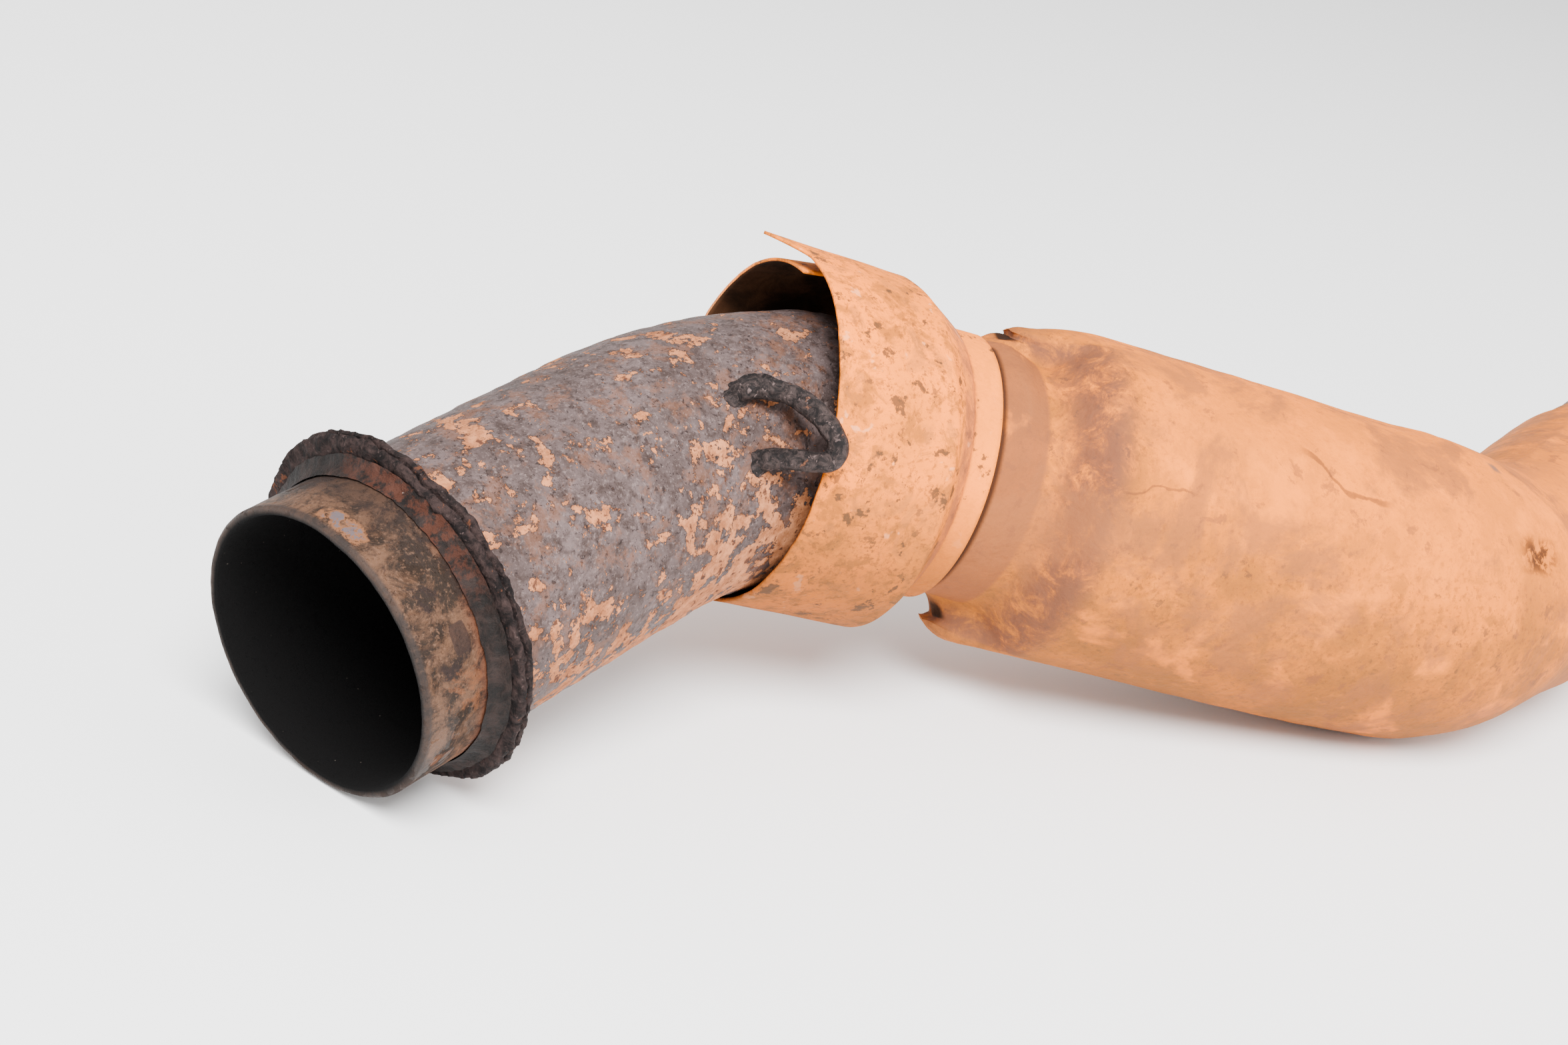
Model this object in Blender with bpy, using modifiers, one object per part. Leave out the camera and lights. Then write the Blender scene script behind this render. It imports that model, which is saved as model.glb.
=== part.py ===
"""A rusted exhaust front pipe: a bent tube, a rotted seat ring, a wire hanger and two sheet heat shields.

The tube is laid out as a pipe bender would: legs, bends and a twist between the two bend planes.
Its line starts at the inlet's mouth, and a station is the distance along that line.
The whole pipe lies as it comes to rest: on its rear leg and on the seat ring behind the inlet.
"""

import math
import random

import bmesh
import bpy
from mathutils import Matrix, Vector

# The steel tube
PIPE_RADIUS = 0.0253
PIPE_WALL = 0.0016
NARROWING = 0.0017
NARROW_START = 0.112
NARROW_END = 0.128
NARROW_RADIUS = PIPE_RADIUS - NARROWING
FRONT_LEG = 0.070
FRONT_BEND_RADIUS = 0.096
FRONT_BEND_ANGLE = math.radians(43.5)
MIDDLE_LEG = 0.0864
REAR_BEND_RADIUS = 0.1044
REAR_BEND_ANGLE = math.radians(46.4)
BEND_PLANE_TWIST = math.radians(155)
REAR_LEG = 0.130

# The seat ring, rotted at its rim, and the weld that holds it
RING_STATION = 0.0156
RING_THICKNESS = 0.0030
RING_POINTS = 96
RING_RAGGEDNESS = 0.00025
RING_REACH = [
    (0, 0.0048), (17, 0.0053), (33, 0.0042), (44, 0.0040), (60, 0.0042), (75, 0.0038), (90, 0.0044),
    (105, 0.0050), (120, 0.0045), (135, 0.0052), (150, 0.0045), (165, 0.0049), (181, 0.0053), (193, 0.0058),
    (204, 0.0061), (213, 0.0059), (223, 0.0056), (233, 0.0055), (240, 0.0048), (248, 0.0044), (257, 0.0033),
    (268, 0.0037), (279, 0.0043), (299, 0.0046), (319, 0.0049), (329, 0.0047), (341, 0.0050), (350, 0.0046),
]
WELD_LEG = 0.0026

# The wire hanger
WIRE_RADIUS = 0.0020
HANGER_STATION = 0.0820
HANGER_REACH = 0.0126
HANGER_HEIGHT = 0.0080
HANGER_TOP_ANGLE = math.radians(-38)
HANGER_LOW_ANGLE = math.radians(-72.5)

# The sheet heat shields
SHEET = 0.0006
CLEARANCE = 0.0003
FRONT_SHIELD_START = 0.1012
FRONT_SHIELD_OFFSET = (0.0008, 0.0042)
FRONT_SHIELD_TILT = (-0.222, -0.223)
FRONT_SHIELD_MOUTH_GAP = 0.0065
FRONT_SHIELD_SHOULDER = 0.1275
FRONT_SHIELD_BODY_GAP = 0.0078
FRONT_SHIELD_NECK = 0.1365
FRONT_SHIELD_END = 0.1435
SEAM_ANGLE = math.radians(10)
SEAM_LAP = math.radians(12)
SEAM_LIFT = 0.0024
SEAM_TIP = 0.0060
REAR_SHIELD_START = 0.1415
REAR_SHIELD_NECK = 0.1550
REAR_SHIELD_SHOULDER = 0.1680
REAR_SHIELD_BODY = 0.1750
REAR_SHIELD_GAP = 0.0071
REAR_SHIELD_RADIUS = PIPE_RADIUS + REAR_SHIELD_GAP
REAR_SHIELD_TAIL_RADIUS = PIPE_RADIUS + CLEARANCE + SHEET
TAPER_START = 0.250
TAPER_END = 0.295
TAIL_LENGTH = 0.030
TAIL_NECK = 0.012
TAIL_SHOULDER = 0.014
EAR_LENGTH = 0.0190
EAR_DROP = 0.0028
EAR_HALF_WIDTH = math.radians(24)
EAR_ANGLES = (math.radians(6), math.radians(186))

# How finely the round shapes are divided
SIDES = 32
BEND_STEP = math.radians(5)
SHEET_COLUMNS = 40

BASE_COLLECTION = "corroded_pipe"


def clear_scene():
    for old in list(bpy.data.objects):
        bpy.data.objects.remove(old, do_unlink=True)


def smoothstep(share):
    share = min(1.0, max(0.0, share))
    return share * share * (3 - 2 * share)


# The line of the pipe

def pipe_runs():
    """The pipe bender's list: straight legs, bends about the local Z axis, and the twist between them."""
    return [
        ("leg", FRONT_LEG),
        ("bend", FRONT_BEND_RADIUS, FRONT_BEND_ANGLE),
        ("twist", BEND_PLANE_TWIST),
        ("leg", MIDDLE_LEG),
        ("bend", REAR_BEND_RADIUS, REAR_BEND_ANGLE),
        ("leg", REAR_LEG),
    ]


def run_length(run):
    if run[0] == "leg":
        return run[1]
    if run[0] == "bend":
        return run[1] * run[2]
    return 0.0


def run_matrix(run, distance):
    """Moves the pipe's frame along one run; its local X axis is the direction of travel."""
    if run[0] == "leg":
        return Matrix.Translation((distance, 0, 0))
    if run[0] == "twist":
        return Matrix.Rotation(run[1], 4, "X")
    radius = run[1]
    turned = distance / radius
    place = Vector((radius * math.sin(turned), radius * (1 - math.cos(turned)), 0))
    return Matrix.Translation(place) @ Matrix.Rotation(turned, 4, "Z")


def bender_matrix(station):
    """The pipe's frame at a station, counted from a mouth at the origin that faces -X."""
    frame = Matrix.Identity(4)
    left = station
    for run in pipe_runs():
        length = run_length(run)
        if run[0] != "twist" and left <= length:
            return frame @ run_matrix(run, left)
        frame = frame @ run_matrix(run, length)
        left -= length
    return frame @ Matrix.Translation((left, 0, 0))


def ring_outline():
    """Radius and angle of each point of the seat ring's rotted rim, clockwise seen from the mouth."""
    chance = random.Random(7)
    rim = RING_REACH + [(360, RING_REACH[0][1])]
    points = []
    for number in range(RING_POINTS):
        turn = 360 * number / RING_POINTS
        after = next(index for index, spot in enumerate(rim) if spot[0] > turn)
        (start, low), (end, high) = rim[after - 1], rim[after]
        radius = PIPE_RADIUS + low + (high - low) * (turn - start) / (end - start)
        points.append((radius + chance.uniform(-1, 1) * RING_RAGGEDNESS, math.radians(turn)))
    return points


def rear_shield_radius(station):
    """The rear shield's outer radius along its body, which narrows through the rear bend."""
    share = smoothstep((station - TAPER_START) / (TAPER_END - TAPER_START))
    return REAR_SHIELD_RADIUS + (REAR_SHIELD_TAIL_RADIUS - REAR_SHIELD_RADIUS) * share


def front_height(place):
    """The height of the lowest point of the seat ring and the inlet's lip."""
    return min((place @ corner).z for corner in FRONT_CORNERS)


def shield_height(place, first, last, steps):
    """The height of the rear shield's lowest point between two stations."""
    heights = []
    for step in range(steps + 1):
        station = first + (last - first) * step / steps
        frame = place @ bender_matrix(station)
        slope = frame.col[0].z
        heights.append(frame.translation.z - rear_shield_radius(station) * math.sqrt(1 - slope * slope))
    return min(heights)


def balance(difference):
    """The small angle at which the difference of two heights, growing with the angle, becomes nothing."""
    low, high = math.radians(-30), math.radians(30)
    for _ in range(26):
        angle = (low + high) / 2
        if difference(angle) > 0:
            high = angle
        else:
            low = angle
    return angle


def rest_matrix():
    """Lays the pipe down on three places: the seat ring, the rear bend and the end of the rear shield."""
    level = bender_matrix(PIPE_LENGTH).inverted()
    ring = (level @ bender_matrix(RING_STATION)).translation
    flat = Matrix.Rotation(-math.atan2(ring.z, ring.y), 4, "X") @ level
    body_end = REAR_SHIELD_END - TAIL_NECK - TAIL_SHOULDER

    def pitched(place):
        def lean(angle):
            leant = Matrix.Rotation(angle, 4, "Y") @ place
            bend = shield_height(leant, TAPER_START, TAPER_END, 12)
            return bend - shield_height(leant, body_end, body_end, 1)
        return Matrix.Rotation(balance(lean), 4, "Y") @ place

    def roll(angle):
        place = pitched(Matrix.Rotation(angle, 4, "X") @ flat)
        return front_height(place) - shield_height(place, body_end, body_end, 1)

    place = pitched(Matrix.Rotation(balance(roll), 4, "X") @ flat)
    return Matrix.Translation((0, 0, -front_height(place))) @ place


PIPE_LENGTH = sum(run_length(run) for run in pipe_runs())
REAR_SHIELD_END = PIPE_LENGTH - TAIL_LENGTH


def front_corners():
    """Points round the inlet's lip and round both faces of the seat ring."""
    corners = []
    for radius, angle in ring_outline():
        out = Vector((0, math.cos(angle), math.sin(angle)))
        corners.append(bender_matrix(0) @ (out * PIPE_RADIUS))
        corners.append(bender_matrix(RING_STATION) @ (out * radius))
        corners.append(bender_matrix(RING_STATION + RING_THICKNESS) @ (out * radius))
    return corners


FRONT_CORNERS = front_corners()


def pipe_matrix():
    """The pipe's place in the part's frame: at rest, with the line from mouth to tail along +X."""
    rest = rest_matrix()
    mouth = rest @ bender_matrix(0).translation
    tail = rest @ bender_matrix(PIPE_LENGTH).translation
    away = tail - mouth
    turn = Matrix.Rotation(-math.atan2(away.y, away.x), 4, "Z")
    return turn @ rest


PIPE_PLACE = pipe_matrix()


def frame_at(station):
    """The frame across the pipe at a station: X to the side, Y up, Z along the pipe."""
    here = PIPE_PLACE @ bender_matrix(station)
    along = here.to_3x3() @ Vector((1, 0, 0))
    up = (Vector((0, 0, 1)) - along * along.z).normalized()
    side = up.cross(along)
    frame = Matrix((side, up, along)).transposed().to_4x4()
    frame.translation = here.translation
    return frame


def point_at(station, radius, angle, offset=(0.0, 0.0)):
    """A point around the pipe; angle 0 is the top, and offset shifts the circle sideways and up."""
    across = Vector((offset[0] + radius * math.sin(angle), offset[1] + radius * math.cos(angle), 0))
    return frame_at(station) @ across


def stations_between(start, end):
    """Stations from start to end: close together in the bends, and few in the straight legs."""
    marks = {start, end, NARROW_START, (NARROW_START + NARROW_END) / 2, NARROW_END}
    walked = 0.0
    for run in pipe_runs():
        length = run_length(run)
        if run[0] == "bend":
            steps = max(2, round(run[2] / BEND_STEP))
            marks |= {walked + length * step / steps for step in range(steps + 1)}
        walked += length
    return sorted(mark for mark in marks if start <= mark <= end)


# Materials and shared ways of making

def steel(name, colour, roughness, metallic=0.0):
    material = bpy.data.materials.new(name)
    material.use_nodes = True
    shader = material.node_tree.nodes["Principled BSDF"]
    shader.inputs["Base Color"].default_value = (*colour, 1.0)
    shader.inputs["Roughness"].default_value = roughness
    shader.inputs["Metallic"].default_value = metallic
    return material


def add_piece(name, data, material, collection, parent):
    data.materials.append(material)
    piece = bpy.data.objects.new(name, data)
    collection.objects.link(piece)
    piece.parent = parent
    return piece


def sweep_curve(name, points, radius, resolution, capped):
    """A round bar or an open tube through the points; each point is a place and its share of the radius."""
    curve = bpy.data.curves.new(name, "CURVE")
    curve.dimensions = "3D"
    curve.bevel_depth = radius
    curve.bevel_resolution = resolution
    curve.use_fill_caps = capped
    spline = curve.splines.new("POLY")
    spline.points.add(len(points) - 1)
    for spot, (place, share) in zip(spline.points, points):
        spot.co = (*place, 1.0)
        spot.radius = share
    return curve


def thicken(piece, thickness):
    """Gives an open surface its wall, inwards from the outer face."""
    wall = piece.modifiers.new("wall", "SOLIDIFY")
    wall.thickness = thickness
    wall.offset = -1.0
    wall.use_even_offset = True


def rolled_sheet(name, rows, columns, place, closed):
    """A flat blank of rows by columns, rolled up: place(row, share around) gives each of its points."""
    blank = bmesh.new()
    bmesh.ops.create_grid(blank, x_segments=columns, y_segments=rows - 1, size=0.5)
    for vertex in blank.verts:
        around = vertex.co.x + 0.5
        row = round((vertex.co.y + 0.5) * (rows - 1))
        vertex.co = place(row, around)
    if closed:
        bmesh.ops.remove_doubles(blank, verts=blank.verts, dist=0.00001)
    bmesh.ops.recalc_face_normals(blank, faces=blank.faces)
    sheet = bpy.data.meshes.new(name)
    blank.to_mesh(sheet)
    blank.free()
    sheet.shade_smooth()
    sheet.set_sharp_from_angle(angle=math.radians(40))
    return sheet


# The pieces

def pipe_radius(station):
    """The tube's outer radius: full at the scaled inlet, and drawn narrower under the shields."""
    share = smoothstep((station - NARROW_START) / (NARROW_END - NARROW_START))
    return PIPE_RADIUS + (NARROW_RADIUS - PIPE_RADIUS) * share


def make_pipe(collection, parent):
    """The steel tube, from the cut inlet to the cut tail."""
    stations = stations_between(0.0, PIPE_LENGTH)
    points = [(frame_at(station).translation, pipe_radius(station) / PIPE_RADIUS) for station in stations]
    curve = sweep_curve("pipe", points, PIPE_RADIUS, (SIDES - 4) // 2, capped=False)
    pipe = add_piece("pipe", curve, steel("scaled_steel", (0.12, 0.10, 0.11), 0.8), collection, parent)
    thicken(pipe, PIPE_WALL)
    return pipe


def make_seat_ring(collection, parent):
    """The flat ring around the inlet, cut from plate, with a rim that rust has eaten."""
    curve = bpy.data.curves.new("seat_ring", "CURVE")
    curve.dimensions = "2D"
    curve.fill_mode = "BOTH"
    curve.extrude = RING_THICKNESS / 2
    bore = PIPE_RADIUS + CLEARANCE
    inner = [(bore, 2 * math.pi * number / RING_POINTS) for number in range(RING_POINTS)]
    for outline in (ring_outline(), inner):
        spline = curve.splines.new("POLY")
        spline.points.add(len(outline) - 1)
        for spot, (radius, angle) in zip(spline.points, outline):
            spot.co = (radius * math.cos(angle), radius * math.sin(angle), 0, 1)
        spline.use_cyclic_u = True
    ring = add_piece("seat_ring", curve, steel("rotten_plate", (0.03, 0.02, 0.02), 0.9), collection, parent)
    here = PIPE_PLACE @ bender_matrix(RING_STATION + RING_THICKNESS / 2)
    bender_to_flat = Matrix(((0, 0, 1, 0), (1, 0, 0, 0), (0, 1, 0, 0), (0, 0, 0, 1)))
    ring.matrix_local = here @ bender_to_flat
    return ring


def make_ring_weld(collection, parent):
    """The fillet weld in the corner between the tube and the front of the seat ring."""
    inside = PIPE_RADIUS + CLEARANCE
    back = -CLEARANCE
    profile = [
        (inside, back - WELD_LEG),
        (inside + WELD_LEG * 0.42, back - WELD_LEG * 0.55),
        (inside + WELD_LEG, back),
        (inside, back),
    ]
    shape = bmesh.new()
    corners = [shape.verts.new((radius, 0, height)) for radius, height in profile]
    for first, second in zip(corners, corners[1:] + corners[:1]):
        shape.edges.new((first, second))
    bead = bpy.data.meshes.new("ring_weld")
    shape.to_mesh(bead)
    shape.free()
    weld = add_piece("ring_weld", bead, steel("weld_rust", (0.16, 0.05, 0.03), 0.6), collection, parent)
    spin = weld.modifiers.new("turn", "SCREW")
    spin.steps = SIDES * 2
    spin.render_steps = SIDES * 2
    spin.use_merge_vertices = True
    spin.merge_threshold = 0.00001
    spin.use_normal_calculate = True
    spin.use_normal_flip = True
    here = PIPE_PLACE @ bender_matrix(RING_STATION)
    bender_to_flat = Matrix(((0, 0, 1, 0), (1, 0, 0, 0), (0, 1, 0, 0), (0, 0, 0, 1)))
    weld.matrix_local = here @ bender_to_flat
    return weld


def hanger_route():
    """Points of the hanger's bent wire, from the upper foot, out and round, to the lower foot."""
    foot = PIPE_RADIUS + CLEARANCE + WIRE_RADIUS
    fan = HANGER_LOW_ANGLE - HANGER_TOP_ANGLE
    shape = [
        (0.06, 0.00, 0.00),
        (0.26, 0.03, 0.00),
        (0.46, 0.10, 0.06),
        (0.78, 0.29, 0.36),
        (0.92, 0.58, 0.74),
        (1.00, 0.84, 1.00),
        (0.90, 0.99, 0.94),
        (0.66, 0.99, 0.68),
        (0.40, 0.90, 0.30),
        (0.20, 0.88, 0.03),
        (0.02, 0.88, 0.00),
    ]
    route = []
    for along, around, height in shape:
        angle = HANGER_TOP_ANGLE + fan * around
        route.append(point_at(HANGER_STATION + HANGER_REACH * along, foot + HANGER_HEIGHT * height, angle))
    return route


def make_hanger(collection, parent):
    """The wire hanger, welded to the near side of the tube in front of the shield."""
    points = [(place, 1.0) for place in smooth_through(hanger_route(), 3)]
    curve = sweep_curve("hanger", points, WIRE_RADIUS, 3, capped=True)
    return add_piece("hanger", curve, steel("scaled_wire", (0.04, 0.04, 0.045), 0.85), collection, parent)


def smooth_through(points, steps):
    """A smooth line through the points, with a few steps between each two of them."""
    line = []
    for here in range(len(points) - 1):
        before = points[max(here - 1, 0)]
        start, end = points[here], points[here + 1]
        after = points[min(here + 2, len(points) - 1)]
        for step in range(steps):
            t = step / steps
            curve = 2 * start + (end - before) * t
            curve += (2 * before - 5 * start + 4 * end - after) * t * t
            curve += (3 * start - before - 3 * end + after) * t * t * t
            line.append(curve / 2)
    line.append(points[-1])
    return line


def front_shield_rows():
    """Share of the way to the shoulder, station and radius of each row of the front shield."""
    neck = NARROW_RADIUS + 2 * (CLEARANCE + SHEET)
    body = PIPE_RADIUS + FRONT_SHIELD_BODY_GAP
    mouth = PIPE_RADIUS + FRONT_SHIELD_MOUTH_GAP
    rows = []
    for step in range(7):
        share = step / 6
        station = FRONT_SHIELD_START + (FRONT_SHIELD_SHOULDER - FRONT_SHIELD_START) * share
        rows.append((share, station, mouth + (body - mouth) * share))
    for share in (0.3, 0.65, 1.0):
        station = FRONT_SHIELD_SHOULDER + (FRONT_SHIELD_NECK - FRONT_SHIELD_SHOULDER) * share
        rows.append((1.0, station, body + (neck - body) * smoothstep(share)))
    rows.append((1.0, FRONT_SHIELD_END, neck))
    return rows


def front_shield_frame(share, station):
    """The frame across the front shield: straight from its offset, tilted mouth to its shoulder."""
    if share == 1.0:
        return frame_at(station)
    mouth = frame_at(FRONT_SHIELD_START)
    shoulder = frame_at(FRONT_SHIELD_SHOULDER)
    centre = mouth @ Vector((*FRONT_SHIELD_OFFSET, 0))
    axis = (mouth.to_3x3() @ Vector((*FRONT_SHIELD_TILT, 1))).normalized()
    along = axis.lerp(shoulder.to_3x3() @ Vector((0, 0, 1)), share).normalized()
    up = (Vector((0, 0, 1)) - along * along.z).normalized()
    frame = Matrix((up.cross(along), up, along)).transposed().to_4x4()
    frame.translation = centre.lerp(shoulder.translation, share)
    return frame


def make_front_shield(collection, parent):
    """The loose sheet sleeve: one blank rolled round the tube, its near edge sprung up over its far one."""
    rows = front_shield_rows()

    def place(row, around):
        share, station, radius = rows[row]
        angle = SEAM_ANGLE - (2 * math.pi + SEAM_LAP) * around
        near_edge = smoothstep(1 - around / 0.24)
        raised = (SHEET + CLEARANCE) * smoothstep(1.5 - around * 1.7) + SEAM_LIFT * near_edge * (1 - share)
        corner = SEAM_TIP * smoothstep(1 - around / 0.05) * max(0.0, 1 - share * 3)
        reach = radius + raised + corner * 0.3
        across = Vector((reach * math.sin(angle), reach * math.cos(angle), -corner))
        return front_shield_frame(share, station) @ across

    mesh = rolled_sheet("front_shield", len(rows), SHEET_COLUMNS, place, closed=False)
    sheet = add_piece("front_shield", mesh, steel("tan_sheet", (0.72, 0.48, 0.30), 0.7), collection, parent)
    thicken(sheet, SHEET)
    return sheet


def rear_shield_rows():
    """Each row of the rear shield: its station and radius, and how far its ears stretch forward and dip."""
    neck = NARROW_RADIUS + CLEARANCE + SHEET
    body = REAR_SHIELD_RADIUS
    rows = [
        (REAR_SHIELD_START, neck, 0.0, 0.0),
        (REAR_SHIELD_NECK - EAR_LENGTH / 3, neck, 0.0, 0.0),
    ]
    for share, stretch, dip in ((0.0, 0.08, 0.0), (0.33, 0.38, 0.0), (0.67, 0.77, 0.7), (1.0, 1.0, 1.0)):
        station = REAR_SHIELD_NECK + (REAR_SHIELD_SHOULDER - REAR_SHIELD_NECK) * share
        rows.append((station, neck + (body - neck) * smoothstep(share), stretch, dip))
    for share, stretch, dip in ((0.3, 0.84, 0.5), (0.65, 0.5, 0.1)):
        station = REAR_SHIELD_SHOULDER + (REAR_SHIELD_BODY - REAR_SHIELD_SHOULDER) * share
        rows.append((station, body, stretch, dip))
    body_end = REAR_SHIELD_END - TAIL_NECK - TAIL_SHOULDER
    for station in stations_between(REAR_SHIELD_BODY, body_end):
        rows.append((station, rear_shield_radius(station), 0.0, 0.0))
    body = REAR_SHIELD_TAIL_RADIUS
    for share in (0.33, 0.67, 1.0):
        rows.append((body_end + TAIL_SHOULDER * share, body + (neck - body) * smoothstep(share), 0.0, 0.0))
    rows.append((REAR_SHIELD_END, neck, 0.0, 0.0))
    return rows


def ear_share(angle):
    """How much a point around the rear shield belongs to the unfolded ears at its two seams."""
    return max(
        smoothstep(1 - abs(math.remainder(angle - ear, 2 * math.pi)) / EAR_HALF_WIDTH) for ear in EAR_ANGLES
    )


def make_rear_shield(collection, parent):
    """The long sheet shield over the middle leg, the rear bend and the rear leg, necked at both ends."""
    rows = rear_shield_rows()

    def place(row, around):
        station, radius, stretch, dip = rows[row]
        angle = EAR_ANGLES[0] - 2 * math.pi * around
        ear = ear_share(angle)
        return point_at(station - EAR_LENGTH * stretch * ear, radius - EAR_DROP * dip * ear, angle)

    mesh = rolled_sheet("rear_shield", len(rows), SHEET_COLUMNS, place, closed=True)
    look = steel("stained_sheet", (0.68, 0.46, 0.30), 0.7)
    sheet = add_piece("rear_shield", mesh, look, collection, parent)
    thicken(sheet, SHEET)
    return sheet


def centre_on_floor(parent, pieces):
    """Moves the whole pipe so that the middle of its box stands on the origin."""
    bpy.context.view_layer.update()
    graph = bpy.context.evaluated_depsgraph_get()
    corners = []
    for piece in pieces:
        seen = piece.evaluated_get(graph)
        mesh = seen.to_mesh()
        corners += [seen.matrix_world @ vertex.co for vertex in mesh.vertices]
        seen.to_mesh_clear()
    low = [min(corner[axis] for corner in corners) for axis in range(3)]
    high = [max(corner[axis] for corner in corners) for axis in range(3)]
    parent.location = (-(low[0] + high[0]) / 2, -(low[1] + high[1]) / 2, -low[2])


def main():
    clear_scene()
    collection = bpy.data.collections.new(BASE_COLLECTION)
    bpy.context.scene.collection.children.link(collection)
    parent = bpy.data.objects.new("pipe_at_rest", None)
    collection.objects.link(parent)
    pieces = [
        make_pipe(collection, parent),
        make_seat_ring(collection, parent),
        make_ring_weld(collection, parent),
        make_hanger(collection, parent),
        make_front_shield(collection, parent),
        make_rear_shield(collection, parent),
    ]
    centre_on_floor(parent, pieces)


main()
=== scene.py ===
# %% [markdown]
# # A rusted exhaust front pipe
# This script turns the plain frame of a bent exhaust pipe into the scrap piece itself.
# The real thing is a steel tube with a seat ring welded behind its mouth, a bent wire hanger, and two
# thin sheet shields rolled round it.
# Years of heat and road salt have scaled the front of the tube, eaten the ring ragged, and baked
# the shields to a stained tan.

# %% Tools and the frame
import math

import bmesh
import bpy
from mathutils import Matrix, Vector, noise


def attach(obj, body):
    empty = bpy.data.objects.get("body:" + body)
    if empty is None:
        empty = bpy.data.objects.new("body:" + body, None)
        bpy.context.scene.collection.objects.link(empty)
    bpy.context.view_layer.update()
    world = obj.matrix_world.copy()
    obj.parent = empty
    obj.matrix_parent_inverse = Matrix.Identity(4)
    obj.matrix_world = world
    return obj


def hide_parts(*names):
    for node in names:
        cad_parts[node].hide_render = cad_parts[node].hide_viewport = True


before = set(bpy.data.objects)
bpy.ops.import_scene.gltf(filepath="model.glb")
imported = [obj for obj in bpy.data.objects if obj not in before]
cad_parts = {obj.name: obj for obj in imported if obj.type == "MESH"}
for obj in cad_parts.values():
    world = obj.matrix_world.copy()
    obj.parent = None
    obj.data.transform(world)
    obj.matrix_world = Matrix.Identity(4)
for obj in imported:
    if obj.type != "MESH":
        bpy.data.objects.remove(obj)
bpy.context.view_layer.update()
print("frame nodes:", sorted(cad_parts))

# %% [markdown]
# ## The line of the pipe
# A pipe bender makes the real tube from legs and bends, with a twist between the two bend planes.
# The same list of runs is walked here, so every new surface lies on the frame's own line.
# A station is the distance along that line from the mouth, in metres.

# %% Runs and frames
RUNS = [
    ("leg", 0.070),
    ("bend", 0.096, math.radians(43.5)),
    ("twist", math.radians(155)),
    ("leg", 0.0864),
    ("bend", 0.1044, math.radians(46.4)),
    ("leg", 0.130),
]
MOUTH = Matrix((
    (0.9518368, 0.2786259, 0.1279620, -0.2088399),
    (0.1803137, -0.8462406, 0.5013621, 0.0163073),
    (0.2479792, -0.4541416, -0.8557230, 0.0248174),
    (0.0, 0.0, 0.0, 1.0),
))


def run_length(run):
    if run[0] == "leg":
        return run[1]
    return run[1] * run[2] if run[0] == "bend" else 0.0


LENGTH = sum(run_length(run) for run in RUNS)


def line_matrix(station):
    """The pipe's frame at a station: X along it, Y and Z across."""
    place = MOUTH.copy()
    left = station
    for run in RUNS:
        if run[0] == "twist":
            place = place @ Matrix.Rotation(run[1], 4, "X")
            continue
        step = left if run is RUNS[-1] else min(left, run_length(run))
        if run[0] == "leg":
            place = place @ Matrix.Translation((step, 0, 0))
        else:
            turned = step / run[1]
            shift = Vector((run[1] * math.sin(turned), run[1] * (1 - math.cos(turned)), 0))
            place = place @ Matrix.Translation(shift) @ Matrix.Rotation(turned, 4, "Z")
        left -= step
        if left <= 0 and station < LENGTH:
            break
    return place


def upright(centre, along):
    """A frame across a direction: X to the side, Y up, Z along."""
    up = (Vector((0, 0, 1)) - along * along.z).normalized()
    place = Matrix((up.cross(along), up, along)).transposed().to_4x4()
    place.translation = centre
    return place


def frame_at(station):
    """The upright frame across the pipe at a station."""
    here = line_matrix(station)
    return upright(here.translation, here.to_3x3() @ Vector((1, 0, 0)))


def around(place, radius, angle, along=0.0):
    """A point of a circle in such a frame; angle 0 is the top, and minus is the camera's side."""
    return place @ Vector((radius * math.sin(angle), radius * math.cos(angle), along))


def smoothstep(share):
    share = min(1.0, max(0.0, share))
    return share * share * (3 - 2 * share)


def bump(value, centre, width):
    """1 at the centre, falling smoothly to 0 at the width."""
    return smoothstep(1 - abs(value - centre) / width)


def turn(angle, centre):
    """The short way round from the centre to an angle."""
    return math.remainder(angle - centre, 2 * math.pi)


def rough(point, size, octaves=3):
    """Smooth noise between about -1 and 1, with features of the given size in metres."""
    return noise.fractal(point / size, 1.0, 2.0, octaves)


print("pipe length: %.1f mm" % (LENGTH * 1000))

# %% [markdown]
# ## Ways of making
# Tube and sheet are both flat strips rolled up, so one helper lays a grid of rows and columns and
# moves each point to its place on the pipe.
# A rolled strip whose edges meet is welded along them, so that it stays one closed skin.
# Each piece keeps its station and angle in an attribute, which lets its material know where it is.

# %% Grids rolled onto the pipe
def rolled(name, rows, columns, place, weld, sharp=40):
    """A grid whose point at (row, column) goes to place(row, column); it also returns station and angle."""
    blank = bmesh.new()
    bmesh.ops.create_grid(blank, x_segments=columns, y_segments=rows, size=0.5)
    where = blank.verts.layers.float_vector.new("where")
    for vertex in blank.verts:
        column = round((vertex.co.x + 0.5) * columns)
        row = round((vertex.co.y + 0.5) * rows)
        point, station, angle = place(row, column)
        vertex.co = point
        vertex[where] = (station * 1000, math.cos(angle), math.sin(angle))
    if weld:
        bmesh.ops.remove_doubles(blank, verts=blank.verts, dist=0.000002)
    bmesh.ops.recalc_face_normals(blank, faces=blank.faces)
    mesh = bpy.data.meshes.new(name)
    blank.to_mesh(mesh)
    blank.free()
    mesh.shade_smooth()
    mesh.set_sharp_from_angle(angle=math.radians(sharp))
    piece = bpy.data.objects.new(name, mesh)
    bpy.context.collection.objects.link(piece)
    print(name, len(mesh.polygons), "faces")
    return piece


def ring_angle(column, columns):
    """The angle of a column on a closed round; the last column lands on the first."""
    return 2 * math.pi * (column % columns) / columns


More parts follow.
